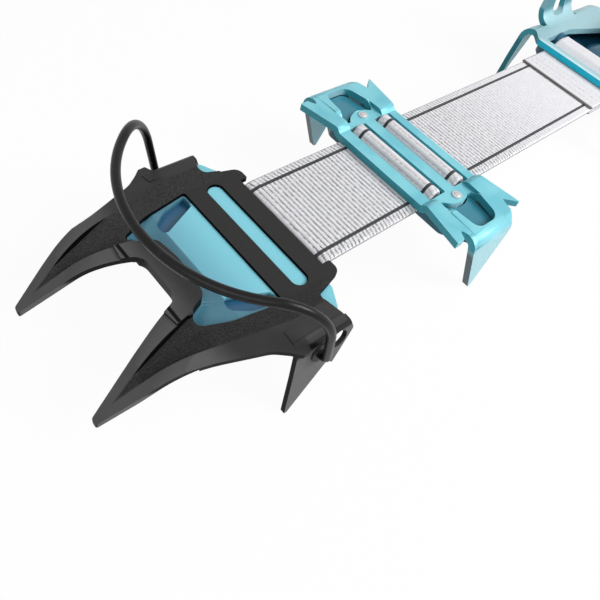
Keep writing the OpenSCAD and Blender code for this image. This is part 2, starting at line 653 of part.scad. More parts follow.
module side_sheet(path, radii, x0, x1, outline) {
    pair() intersection() {
        along_x(x0, x1) bent_strip(path, radii, alloy_t);
        rotate([90, 0, 0]) translate([0, 0, -deep]) linear_extrude(2 * deep) polygon(rounded(outline));
    }
}
module heel_spikes(x0, x1, outline) {
    y = heel_half_w - alloy_t / 2;
    side_sheet([[28, heel_mid], [y - 0.6, heel_mid], [y - 0.6 + (heel_mid - foot_z) * tan(alloy_lean + 0.8), foot_z]],
               [0, 6, 0], x0, x1, outline);
}
module heel_frame_solid() {
    difference() {
        union() {
            intersection() {
                plan(heel_outline, heel_under, heel_top);
                translate([-deep * 2, -35, -deep]) cube([deep * 2, 70, 2 * deep]);
            }
            heel_spikes(-20, spike_front, [[-15.6, 9, 0], [-15.6, -1, 2], [-8.6, -stance, 0], [-7.4, -stance, 0],
                                           [spike_front, -16, 30], [spike_front, 9, 0]]);
            heel_spikes(rear_spike - 4, rear_spike + 26,
                        [[rear_spike + 0.2, 9, 0], [rear_spike + 0.2, -8, 20], [rear_spike + 3, -stance, 0],
                         [rear_spike + 4.4, -stance, 0], [rear_spike + 23, -1, 2], [rear_spike + 23, 9, 0]]);
            side_sheet([[28, heel_mid], [40.6, heel_mid], [ear_out - 0.4, 16], [ear_out, 30]], [0, 9, 20, 0],
                       ear_rear, ear_front,
                       [[ear_front, -2, 0], [ear_front, 10, 4], [-27, 27, 6], [-44, 27, 6], [ear_rear, 10, 4],
                        [ear_rear, -2, 0]]);
        }
        plan(heel_window, -deep, deep);
        // Windows in the ears, pivot holes and rivet holes
        rotate([90, 0, 0]) translate([0, 0, -deep]) linear_extrude(2 * deep)
            polygon(rounded([[-40, 5.8, 3], [-28.5, 5.8, 3], [-28.5, 15, 3], [-40, 15, 3]]));
        y_pin(bail_x, bail_z, heel_wire_d / 2 + run, -deep, deep);
        pair() translate([guard_rivet[0], guard_rivet[1], -deep]) cylinder(r = rivet_r, h = 2 * deep);
    }
}

heel_guard_floor = heel_rod_z - heel_loop_r - loop_t / 2 - seat;
heel_guard_t = 2;
heel_guard_seat = heel_under - seat;
dome_x = -43;
dome_r = 27;
dome_top = 3;
guard_rivet = [-heel_len + 11, 19];
function heel_guard_edge(g) = both_sides([
    [-heel_len + 5 - g, 0, 0], [-heel_len + 5 - g, half_strap + 5.5 + g, 8], [-11 + g, half_strap + 9 + g, 4],
    [-5 + g, half_strap + 3.4 + g, 3], [-5 + g, 0, 0]]);
module dome(r) { translate([dome_x, 0, dome_top - dome_r]) sphere(r); }
module heel_guard_solid() {
    floor_z = heel_guard_floor - heel_guard_t;
    difference() {
        union() {
            difference() {
                plan(heel_guard_edge(0), floor_z, heel_guard_seat);
                plan(heel_guard_edge(-2), heel_guard_floor, deep);
                // The webbing runs in through the front wall
                translate([-9.5, -half_strap - 1, heel_guard_floor]) cube([deep, strap_w + 2, deep]);
            }
            intersection() {
                dome(dome_r);
                translate([-66, -30, floor_z]) cube([66 + heel_rod_x - 6, 60, deep]);
            }
            pair() {
                translate([heel_rod_x - 5, half_strap + 0.8, floor_z]) cube([10, 2.4, heel_rod_z - floor_z]);
                y_pin(heel_rod_x, heel_rod_z, 4.6, half_strap + 0.8, half_strap + 3.2);
                translate([guard_rivet[0], guard_rivet[1], floor_z]) cylinder(r = 4, h = heel_under - floor_z);
            }
        }
        difference() {
            dome(dome_r - 1.6);
            translate([heel_rod_x - 7.6, -deep, -deep]) cube([deep, 2 * deep, 2 * deep]);
        }
        y_pin(heel_rod_x, heel_rod_z, heel_rod_r + 0.05, -deep, deep);
        pair() translate([guard_rivet[0], guard_rivet[1], -deep]) cylinder(r = rivet_r, h = 2 * deep);
    }
}
module guard_rivet_solid() {
    low = heel_guard_floor - heel_guard_t;
    translate([guard_rivet[0], guard_rivet[1], 0]) {
        translate([0, 0, low]) cylinder(r = rivet_r - 0.02, h = heel_top - low);
        translate([0, 0, heel_top]) cylinder(r = 2.6, h = 0.2);
        translate([0, 0, low - 1]) cylinder(r = 2.6, h = 1);
    }
}

module heel_bail_solid() {
    fall = (bail_z - wire_z) / (bail_x - wire_x);
    knee_x = -58;
    half = [[bail_x, ear_out - alloy_t / 2 - 1.4, bail_z], [bail_x, heel_bail_half, bail_z],
            [knee_x, heel_bail_half, bail_z - (bail_x - knee_x) * fall], [wire_x, 31, wire_z]];
    path = concat(half, [for (i = [3 : -1 : 0]) [half[i][0], -half[i][1], half[i][2]]]);
    bent_wire(path, [0, 3.6, 18, 11, 11, 18, 3.6, 0], heel_wire_d);
}

// Heel lever, drawn about the wire that it turns on

block_front = 11;
block_rear = -4.2;
block_half = 7;
wheel_x = 23;
wheel_half = 2.6;
pocket_gap = 0.2;
module adjust_block_solid() {
    difference() {
        plan([[block_rear, -block_half, 1], [block_front, -block_half, 1], [block_front, block_half, 1],
              [block_rear, block_half, 1]], -3.6, 3.4);
        y_pin(0, 0, heel_wire_d / 2 + run, -deep, deep);
        translate([heel_wire_d / 2 + 1, 0, 0]) rotate([0, 90, 0]) cylinder(d = screw_d + 2 * run, h = deep);
    }
}
module heel_lever_solid() {
    side = [[-lever_rear, -lever_under, 1], [-lever_rear, 2, 3], [-5.4, 5.6, 3], [13, 5.6, 8],
            [18.5, 4, 4], [28, 4, 4], [34, 5.2, 6],
            [lever_len - 4, 3.4, 5], [lever_len, 4.6, 1.2], [lever_len, 0.6, 1.6], [lever_len - 10, -lever_under, 8]];
    slot_half = adjust_travel + heel_wire_d / 2 + 0.4;
    pocket0 = block_rear - adjust_travel - pocket_gap;
    pocket1 = block_front + adjust_travel + pocket_gap;
    difference() {
        intersection() {
            across(lever_w) polygon(rounded(side));
            plan([[-lever_rear, -lever_w / 2, 3], [14, -lever_w / 2, 20], [lever_len, -lever_w / 2 + 3, 4],
                  [lever_len, lever_w / 2 - 3, 4], [14, lever_w / 2, 20], [-lever_rear, lever_w / 2, 3]], -deep, deep);
        }
        // Pocket of the sliding block, open underneath
        translate([pocket0, -block_half - pocket_gap, -deep])
            cube([pocket1 - pocket0, 2 * (block_half + pocket_gap), deep + 3.4 + pocket_gap]);
        // Slots that let the wire move along the lever
        across(2 * deep) polygon(rounded([[-slot_half, -deep, 0], [slot_half, -deep, 0],
            [slot_half, heel_wire_d / 2 + 0.4, 2], [-slot_half, heel_wire_d / 2 + 0.4, 2]]));
        // Bearing of the screw, and the gap where the thumb reaches the wheel
        rotate([0, 90, 0]) cylinder(d = screw_d + 2 * run, h = wheel_x + 10);
        translate([wheel_x - wheel_half - 0.3, -wheel_r - 0.6, -deep])
            cube([2 * wheel_half + 0.6, 2 * wheel_r + 1.2, 2 * deep]);
    }
}
module adjust_screw_solid() {
    from = 6;
    translate([from, 0, 0]) rotate([0, 90, 0]) cylinder(d = screw_d, h = wheel_x + 9.6 - from);
}
module thumb_wheel_solid() {
    grips = 18;
    translate([wheel_x - wheel_half, 0, 0]) rotate([0, 90, 0]) difference() {
        cylinder(r = wheel_r, h = 2 * wheel_half);
        for (i = [0 : grips - 1]) rotate(i * 360 / grips)
            translate([wheel_r + 0.3, 0, -cut]) cylinder(r = 0.65, h = 2 * wheel_half + 2 * cut);
        translate([0, 0, -cut]) cylinder(d = screw_d + 0.02, h = 2 * wheel_half + 2 * cut);
        translate([0, -deep, wheel_half]) rotate([-90, 0, 0]) cylinder(r = 0.62, h = 2 * deep);
    }
}
module wheel_pin_solid() {
    y_pin(wheel_x, 0, 0.6, screw_d / 2 + 0.02, wheel_r - 0.5);
    y_pin(wheel_x, 0, 0.6, -wheel_r + 0.5, -screw_d / 2 - 0.02);
}

// Places in the shared frame: the middle of the whole length is at x = 0
front_end = point_reach;
rear_end = -heel_back + wire_x - lever_rear;
centre_x = (front_end + rear_end) / 2;
module toe_place() { translate([-centre_x, 0, stance]) children(); }
module mid_place() { translate([-centre_x - mid_back, 0, stance]) children(); }
module heel_place() { translate([-centre_x - heel_back, 0, stance]) children(); }
module lever_place() { heel_place() translate([wire_x, 0, wire_z]) children(); }

module front_frame() { color("#2f2f30") toe_place() front_frame_solid(); }
module front_guard() { color("#7cc3d4") toe_place() front_guard_solid(); }
module toe_rod() { color("silver") toe_place() y_pin(toe_rod_x, toe_rod_z, toe_rod_r, -cheek_in - cheek_t, cheek_in + cheek_t); }
module bail_bushes() { color("#1c1c1c") toe_place() pair() bail_bush(); }
module toe_bail() { color("#262627") toe_place() toe_bail_solid(); }
module front_strap() { color("whitesmoke") toe_place() front_strap_solid(); }
module mid_strap() { color("whitesmoke") mid_place() mid_strap_solid(); }
module mid_plate() { color("#8fd6e2") mid_place() mid_plate_solid(); }
module mid_guard() { color("#2f8090") mid_place() mid_guard_solid(); }
module mid_rivets() { color("lightgray") mid_place() pair() translate([0, rivet_y, 0]) rivet_solid(rail_z); }
module rivet_washers() { color("silver") mid_place() pair() translate([0, rivet_y, 0]) washer_solid(); }
module rear_strap() { color("whitesmoke") heel_place() rear_strap_solid(); }
module heel_loop() { color("gainsboro") heel_place() heel_loop_solid(); }
module heel_frame() { color("#8fd6e2") heel_place() heel_frame_solid(); }
module heel_guard() { color("#2f7f98") heel_place() heel_guard_solid(); }
module heel_rod() {
    color("silver") heel_place() y_pin(heel_rod_x, heel_rod_z, heel_rod_r, -half_strap - 3.2, half_strap + 3.2);
}
module guard_rivets() { color("lightgray") heel_place() pair() guard_rivet_solid(); }
module heel_bail() { color("#b9bdc0") heel_place() heel_bail_solid(); }
module adjust_block() { color("silver") lever_place() adjust_block_solid(); }
module heel_lever() { color("#2b2b2c") lever_place() heel_lever_solid(); }
module adjust_screw() { color("silver") lever_place() adjust_screw_solid(); }
module thumb_wheel() { color("#8fd6e2") lever_place() thumb_wheel_solid(); }
module wheel_pin() { color("gray") lever_place() wheel_pin_solid(); }

front_frame();
front_guard();
toe_rod();
bail_bushes();
toe_bail();
front_strap();
mid_strap();
mid_plate();
mid_guard();
mid_rivets();
rivet_washers();
rear_strap();
heel_loop();
heel_frame();
heel_guard();
heel_rod();
guard_rivets();
heel_bail();
adjust_block();
heel_lever();
adjust_screw();
thumb_wheel();
wheel_pin();
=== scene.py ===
"""Looks of a strap-linked crampon: finishes, woven webbing and small fittings round its frame."""

import json
import math

import bpy
from mathutils import Matrix, Vector


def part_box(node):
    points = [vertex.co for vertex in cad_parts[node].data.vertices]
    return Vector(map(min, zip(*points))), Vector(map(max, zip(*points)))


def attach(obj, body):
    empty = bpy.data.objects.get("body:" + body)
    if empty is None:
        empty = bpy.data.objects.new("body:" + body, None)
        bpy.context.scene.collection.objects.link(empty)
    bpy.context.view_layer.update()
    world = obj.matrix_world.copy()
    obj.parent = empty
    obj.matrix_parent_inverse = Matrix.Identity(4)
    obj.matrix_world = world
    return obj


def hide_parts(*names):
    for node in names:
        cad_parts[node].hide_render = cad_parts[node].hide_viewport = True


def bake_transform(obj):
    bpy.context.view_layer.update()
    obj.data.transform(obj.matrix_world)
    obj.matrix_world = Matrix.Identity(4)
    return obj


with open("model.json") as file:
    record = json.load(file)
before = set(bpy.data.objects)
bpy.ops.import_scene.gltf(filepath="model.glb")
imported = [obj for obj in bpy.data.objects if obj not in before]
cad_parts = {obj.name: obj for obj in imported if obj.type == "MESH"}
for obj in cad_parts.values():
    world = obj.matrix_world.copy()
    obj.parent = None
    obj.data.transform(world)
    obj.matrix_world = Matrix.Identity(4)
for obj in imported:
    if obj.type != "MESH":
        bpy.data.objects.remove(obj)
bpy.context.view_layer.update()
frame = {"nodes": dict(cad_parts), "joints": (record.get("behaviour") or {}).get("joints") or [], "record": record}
NODES = frame["nodes"]

MM = 0.001                              # metres in a millimetre


def box_mm(node):
    """Lowest and highest corner of a CAD node, in millimetres."""
    low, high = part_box(node)
    return Vector(low) / MM, Vector(high) / MM


# Places and sizes that the frame gives, in millimetres

WEBBING_PAST_BAR = 9                    # the webbing ends this far behind the heel bar's front


def cross_rod(node):
    """Middle and radius of a rod that lies across."""
    low, high = box_mm(node)
    return (low + high) / 2, (high.z - low.z) / 2


JOINT = {joint["name"]: joint for joint in frame["joints"]}
TOE_PIVOT_X = JOINT["toe_bail_swing"]["pos_m"][0] / MM
TOE_FOLD_X = JOINT["toe_fold"]["pos_m"][0] / MM
HEEL_FOLD_X = JOINT["heel_fold"]["pos_m"][0] / MM
REAR_LOW, REAR_HIGH = box_mm("rear_strap")
STRAP_TOP = REAR_HIGH.z
STRAP_HALF = REAR_HIGH.y
STRAP_T = REAR_HIGH.z - REAR_LOW.z
STRAP_MID = STRAP_TOP - STRAP_T / 2
HEEL_BAR_X = REAR_LOW.x + WEBBING_PAST_BAR
LOOP_FRONT = box_mm("heel_loop")[1].x
RIVETS_LOW, RIVETS_HIGH = box_mm("mid_rivets")
MID_BAR_X = (RIVETS_LOW.x + RIVETS_HIGH.x) / 2
RIVET_Y = RIVETS_HIGH.y - (RIVETS_HIGH.x - RIVETS_LOW.x) / 2
TOE_ROD, TOE_ROD_R = cross_rod("toe_rod")
HEEL_ROD, HEEL_ROD_R = cross_rod("heel_rod")


# Shader helpers

class Value:
    """A number in a shader tree. Arithmetic on it adds Math nodes."""

    def __init__(self, finish, socket):
        self.finish = finish
        self.socket = socket

    def math(self, operation, *others):
        """The result of a Math node on this value and others."""
        node = self.finish.node("ShaderNodeMath", {"operation": operation},
                                dict(enumerate((self, *others))))
        return Value(self.finish, node.outputs[0])

    def __add__(self, other):
        return self.math("ADD", other)

    def __sub__(self, other):
        return self.math("SUBTRACT", other)

    def __rsub__(self, other):
        return (self * -1) + other

    def __mul__(self, other):
        return self.math("MULTIPLY", other)

    def __truediv__(self, other):
        return self.math("DIVIDE", other)

    __radd__ = __add__
    __rmul__ = __mul__

    def size(self):
        """The value without its sign."""
        return self.math("ABSOLUTE")

    def ramp(self, low, high):
        """0 below low, 1 above high, smooth between."""
        node = self.finish.node("ShaderNodeMapRange", {"interpolation_type": "SMOOTHSTEP"},
                                {"Value": self, "From Min": low, "From Max": high})
        return Value(self.finish, node.outputs[0])

    def wave(self, pitch):
        """Rounded ridges from 0 to 1, one in each pitch."""
        return (self * (math.pi / pitch)).math("SINE").size()


def paint(red, green, blue):
    """Linear colour from the 0 to 255 numbers of a picture."""
    def linear(part):
        part /= 255
        return part / 12.92 if part <= 0.04045 else ((part + 0.055) / 1.055) ** 2.4
    return (linear(red), linear(green), linear(blue), 1)


class Finish:
    """A material under construction, with its Principled shader."""

    def __init__(self, name, **fixed):
        self.material = bpy.data.materials.new(name)
        self.material.use_nodes = True
        self.tree = self.material.node_tree
        self.shader = self.tree.nodes["Principled BSDF"]
        for socket, value in fixed.items():
            self.shader.inputs[socket.replace("_", " ")].default_value = value

    def node(self, kind, settings, inputs):
        """Adds a node. Settings come first, then values or links for its sockets."""
        node = self.tree.nodes.new(kind)
        for name, setting in settings.items():
            setattr(node, name, setting)
        for name, value in inputs.items():
            if isinstance(value, Value):
                value = value.socket
            if isinstance(value, bpy.types.NodeSocket):
                self.tree.links.new(value, node.inputs[name])
            else:
                node.inputs[name].default_value = value
        return node

    def parts(self, vector):
        """The three numbers of a vector."""
        node = self.node("ShaderNodeSeparateXYZ", {}, {0: vector})
        return [Value(self, output) for output in node.outputs]

    def place(self):
        """Object coordinates as a socket, in metres, and as three values in millimetres."""
        coordinates = self.node("ShaderNodeTexCoord", {}, {}).outputs["Object"]
        return coordinates, [value / MM for value in self.parts(coordinates)]

    def facing(self):
        """How far the surface faces +X, +Y and +Z of its own piece."""
        return self.parts(self.node("ShaderNodeTexCoord", {}, {}).outputs["Normal"])

    def noise(self, vector, grain, detail=2.0):
        """Noise with grains of the given size in millimetres, about 0.5."""
        node = self.node("ShaderNodeTexNoise", {},
                         {"Vector": vector, "Scale": 1 / (grain * MM), "Detail": detail})
        return Value(self, node.outputs["Fac"])

    def stretched(self, vector, *scale):
        """Coordinates scaled along each axis, for marks that run one way."""
        return self.node("ShaderNodeMapping", {}, {"Vector": vector, "Scale": scale}).outputs[0]

    def mix(self, factor, first, second):
        """Colour between first, at factor 0, and second, at factor 1."""
        node = self.node("ShaderNodeMix", {"data_type": "RGBA"}, {0: factor, 6: first, 7: second})
        return node.outputs[2]

    def colour(self, socket):
        """Links the base colour."""
        self.tree.links.new(socket, self.shader.inputs["Base Color"])

    def vary(self, socket, value):
        """Links a number that varies over the surface."""
        self.tree.links.new(value.socket, self.shader.inputs[socket])

    def relief(self, height, depth):
        """Bump from a height of 0 to 1 that stands for the given depth in millimetres."""
        bump = self.node("ShaderNodeBump", {},
                         {"Height": height, "Distance": depth * MM, "Strength": 1})
        self.tree.links.new(bump.outputs["Normal"], self.shader.inputs["Normal"])


# Finishes

# Places on the toe section, in millimetres ahead of its bail's pivot or from its middle line
CREST_Y = 35.2                          # ridge beside the deck
CREST_KINK = 5                          # ahead of here the ridge runs inwards
CREST_SLOPE = math.tan(math.radians(12.1))
POINT_Y = 23                            # middle of each front point
GROOVE_BACK, GROOVE_TIP = 31, 54.4      # ends of the groove in each front point
GROOVE_HALF, GROOVE_TIP_HALF = 6.4, 1.2
GROOVE_TAPER = (GROOVE_HALF - GROOVE_TIP_HALF) / (GROOVE_TIP - GROOVE_BACK)
BRIDGE_BACK, BRIDGE_HALF = 17.5, 16.9   # smooth bridge between the points
STEP_BACK, STEP_FRONT = 33.6, 35.1      # painted shadow along the step where the bridge meets the rims of the points
STEP_IN, STEP_OUT = 9.8, 17.4
GRAIN_FLOOR = -14                       # the grain ends at this height over the webbing


def black_steel():
    """Powder-coated steel: grained in its pressed parts, smooth on its rims, with painted shade, near black, on
    cut edges and other faces that do not face up, and a painted shadow along the step between bridge and points.
    """
    finish = Finish("black_steel", Specular_IOR_Level=0.1)
    where, (x, y, z) = finish.place()
    _, aside, up = finish.facing()
    x = x - TOE_PIVOT_X
    y = y.size()
    height = z - STRAP_TOP
    crest = CREST_Y - (x - CREST_KINK).math("MAXIMUM", 0) * CREST_SLOPE
    deck = (y - crest).ramp(0.4, -0.8) * x.ramp(GROOVE_BACK + 1, GROOVE_BACK - 0.5)
    half = GROOVE_HALF - (x - GROOVE_BACK) * GROOVE_TAPER
    groove = (((y - POINT_Y).size() - half).ramp(0.5, -0.3)
              * x.ramp(GROOVE_BACK - 2, GROOVE_BACK - 0.5))
    bridge = (y.ramp(BRIDGE_HALF + 0.5, BRIDGE_HALF - 0.5)
              * x.ramp(BRIDGE_BACK - 0.5, BRIDGE_BACK + 0.5))
    grained = ((deck * (1 - bridge)).math("MAXIMUM", groove)
               * height.ramp(GRAIN_FLOOR - 2, GRAIN_FLOOR + 2))
    grain = finish.noise(where, 0.3, 3)
    cloud = finish.noise(where, 8)
    claw = x.ramp(GROOVE_BACK - 6, GROOVE_BACK + 4)
    smooth = finish.mix(claw, finish.mix(cloud, paint(48, 48, 49), paint(60, 59, 60)),
                        finish.mix(cloud, paint(80, 79, 80), paint(92, 91, 92)))
    rough = finish.mix(grain.ramp(0.3, 0.72), paint(28, 28, 29), paint(68, 68, 67))
    faced = finish.mix(grained, smooth, rough)
    # Painted shadow of the step where the bridge meets the rims of the points
    step = (x.ramp(STEP_BACK, STEP_BACK + 0.3) * x.ramp(STEP_FRONT, STEP_FRONT - 0.3)
            * y.ramp(STEP_IN, STEP_IN + 0.4) * y.ramp(STEP_OUT, STEP_OUT - 0.3))
    # Painted shade: faces that do not face up, and the step's line, go near black
    painted_side_shading = finish.mix(up.ramp(0.6, 0.35).math("MAXIMUM", step), faced, paint(4, 4, 5))
    # Outer faces of the side sheets low down take a paler grey instead of the painted shade
    side_sheet = aside.size().ramp(0.75, 0.92) * height.ramp(-3, -5)
    side = finish.mix(cloud, paint(84, 84, 85), paint(98, 98, 98))
    finish.colour(finish.mix(side_sheet, painted_side_shading, side))
    finish.vary("Roughness", 0.45 + grained * 0.25 + (grain - 0.5) * 0.2)
    finish.relief(grain * (grained * 0.8 + 0.2), 0.08)
    return finish.material


def black_wire():
    """Satin black wire, its coating rubbed a little paler in patches."""
    finish = Finish("black_wire", Specular_IOR_Level=0.22)
    where, _ = finish.place()
    grain = finish.noise(where, 0.5)
    rubbed = finish.noise(where, 4, 4).ramp(0.55, 0.75)
    coated = finish.mix(grain, paint(6, 6, 6), paint(14, 13, 13))
    finish.colour(finish.mix(rubbed * 0.4, coated, paint(44, 42, 40)))
    finish.vary("Roughness", grain * 0.15 + 0.24)
    finish.relief(grain, 0.02)
    return finish.material


def black_nylon():
    """Moulded nylon of the bushes."""
    finish = Finish("black_nylon", Specular_IOR_Level=0.4)
    where, _ = finish.place()
    grain = finish.noise(where, 0.25)
    finish.colour(finish.mix(grain, paint(16, 16, 17), paint(34, 34, 35)))
    finish.vary("Roughness", grain * 0.2 + 0.45)
    finish.relief(grain, 0.03)
    return finish.material


def black_lever():
    """Black anodised lever, brushed along its length."""
    finish = Finish("black_lever", Metallic=0.5)
    where, _ = finish.place()
    brushed = finish.noise(finish.stretched(where, 0.06, 1, 1), 0.2, 3)
    finish.colour(finish.mix(brushed, paint(28, 28, 30), paint(58, 58, 61)))
    finish.vary("Roughness", brushed * 0.2 + 0.28)
    finish.relief(brushed, 0.02)
    return finish.material


HEEL_START = HEEL_BAR_X + 6             # the heel section's alloy lies behind this
BAR_HALF = 28                           # half width of the heel bar
EAR_FOOT = 8.5                          # height over the webbing where the ears stand clear
RIVET_SHADOW_R = 1.95                       # radius of the painted shadow round each rivet


def blue_alloy():
    """Anodised alloy, its light and shade painted by the way each face turns: pale blue on its broad faces, deep
    teal painted shade on cut edges and underneath.
    """
    finish = Finish("blue_alloy", Metallic=0.12, Specular_IOR_Level=0.25,
                    Coat_Weight=0.03, Coat_Roughness=0.15)
    where, (x, y, z) = finish.place()
    ahead, aside, up = finish.facing()
    height = z - STRAP_TOP
    cloud = finish.noise(where, 14)
    grain = finish.noise(where, 0.3)
    heel = x.ramp(HEEL_START + 2, HEEL_START - 2)
    bar = heel * y.size().ramp(BAR_HALF + 1, BAR_HALF - 1)
    broad = finish.mix(cloud.ramp(0.35, 0.65), paint(114, 194, 210), paint(134, 210, 222))
    broad = finish.mix(heel, broad, paint(162, 202, 210))
    # Painted white reflection along the front of the heel bar's top
    broad = finish.mix(bar * x.ramp(HEEL_BAR_X - 4, HEEL_BAR_X), broad, paint(210, 232, 238))
    # Painted light and shade: sides facing across are pale, other sides deep teal
    painted_side_shading = finish.mix(aside.size().ramp(0.5, 0.85), paint(20, 88, 104), paint(152, 200, 210))
    spike = finish.mix(heel, paint(16, 56, 64), paint(30, 116, 128))
    # Painted shade on faces that turn ahead, deeper low down and on the heel's spikes; the heel bar's front is
    # bright cyan
    front = finish.mix(height.ramp(-2, -6), paint(58, 148, 162), spike)
    front = finish.mix(bar, front, paint(20, 190, 218))
    # Painted dark reflection on the sides of the heel's ears
    ear_dark_reflection = heel * height.ramp(EAR_FOOT - 1.5, EAR_FOOT + 1.5)
    painted_side_shading = finish.mix(ear_dark_reflection, painted_side_shading, paint(84, 138, 150))
    turned = finish.mix(ahead.size().ramp(0.35, 0.75), painted_side_shading, front)
    upper = finish.mix(up.ramp(0.1, 0.7), turned, broad)
    # Painted shade on faces that turn down
    with_underside_shade = finish.mix(up.ramp(-0.3, -0.8), upper, paint(28, 86, 102))
    # Painted shadow in the groove round each rivet of the middle plate
    from_rivet = ((x - MID_BAR_X).math("POWER", 2)
                  + (y.size() - RIVET_Y).math("POWER", 2)).math("SQRT")
    ring = from_rivet.ramp(RIVET_SHADOW_R + 0.1, RIVET_SHADOW_R - 0.1)
    finish.colour(finish.mix(ring, with_underside_shade, paint(38, 66, 74)))
    finish.vary("Roughness", grain * 0.14 + 0.28)
    finish.relief(grain, 0.012)
    return finish.material


PANEL_BACK, PANEL_FRONT = 3, 17         # raised panel of the toe plate, ahead of the pivot
PANEL_BACK_HALF, PANEL_FRONT_HALF, PANEL_LENGTH = 21.8, 15.2, 14.6
PANEL_TAPER = (PANEL_BACK_HALF - PANEL_FRONT_HALF) / PANEL_LENGTH


def pale_plate():
    """Pale, slightly cloudy elastomer: a paler raised panel, a darker ledge beside it, and painted shade where it
    lies low in its recesses.
    """
    finish = Finish("pale_plate", Coat_Weight=0.15, Coat_Roughness=0.3, Subsurface_Weight=0.1)
    finish.shader.inputs["Subsurface Scale"].default_value = 2 * MM
    where, (x, y, z) = finish.place()
    x = x - TOE_PIVOT_X
    y = y.size()
    height = z - STRAP_TOP
    edge = PANEL_BACK_HALF - (x - PANEL_BACK) * PANEL_TAPER
    cloud = finish.noise(where, 12)
    panel = finish.mix(x.ramp(18, 2), paint(110, 180, 198), paint(130, 208, 224))
    ledge = finish.mix(cloud, paint(60, 112, 134), paint(84, 140, 156))
    beside = (y - edge).ramp(0.4, 1.6) * x.ramp(0.5, 2)
    beside = beside.math("MAXIMUM", x.ramp(PANEL_FRONT - 0.3, PANEL_FRONT + 0.5))
    shown = finish.mix(beside, panel, ledge)
    # Painted shade in the low recesses round the panel
    painted_recess_shade = height.ramp(0.1, -1.6) * x.ramp(PANEL_FRONT + 1.6, PANEL_FRONT) * x.ramp(1, 2)
    finish.colour(finish.mix(painted_recess_shade, shown, paint(34, 88, 120)))
    finish.vary("Roughness", cloud * 0.15 + 0.25)
    finish.relief(finish.noise(where, 1.2), 0.03)
    return finish.material


def deep_plate(name, low_colour, high_colour, low, high):
    """Darker elastomer whose colour lightens between two heights over the webbing."""
    finish = Finish(name, Specular_IOR_Level=0.3, Coat_Weight=0.12, Coat_Roughness=0.1)
    where, (_, _, z) = finish.place()
    cloud = finish.noise(where, 10)
    height = (z - STRAP_TOP + (cloud - 0.5) * 1.5).ramp(low, high)
    finish.colour(finish.mix(height, paint(*low_colour), paint(*high_colour)))
    finish.vary("Roughness", cloud * 0.15 + 0.18)
    finish.relief(finish.noise(where, 1.5), 0.03)
    return finish.material


def bright_rivet():
    """Bright rivet heads, brushed by the tool that closed them."""
    finish = Finish("bright_rivet", Metallic=0.5)
    where, _ = finish.place()
    grain = finish.noise(where, 0.25)
    finish.colour(finish.mix(grain, paint(176, 178, 180), paint(224, 226, 228)))
    finish.vary("Roughness", grain * 0.15 + 0.3)
    finish.relief(grain, 0.015)
    return finish.material


def plain_steel():
    """Bare steel with turning marks."""
    finish = Finish("plain_steel", Metallic=0.9)
    where, _ = finish.place()
    turned = finish.noise(finish.stretched(where, 1, 0.1, 1), 0.15, 3)
    finish.colour(finish.mix(turned, paint(168, 170, 172), paint(206, 208, 210)))
    finish.vary("Roughness", turned * 0.15 + 0.22)
    finish.relief(turned, 0.01)
    return finish.material


# Woven webbing: its measures, shared by the meshes and the finish

RIB_PITCH = 1.9                         # ribs across the middle
MARGIN_PITCH = 1.82                     # ribs beside the dark lines
MARGIN_SLANT = 0.25                     # how far they lean for each millimetre outwards
YARN_PITCH = 0.75                       # yarns along the webbing
RIB_RISE = 0.14                         # height of the ribs
RIB_WANDER = 1.2                        # how far the ribs stray along the webbing
STRIPE_IN, STRIPE_OUT = 17.2, 18.6      # dark lines, from the centre
UV_SPAN = 200                           # millimetres that a UV unit stands for
LOOP_T = 1.0                            # thickness of the plain loop
PLAIN_PITCH = 0.9                       # pitch and height of its finer ribs
PLAIN_RISE = 0.05


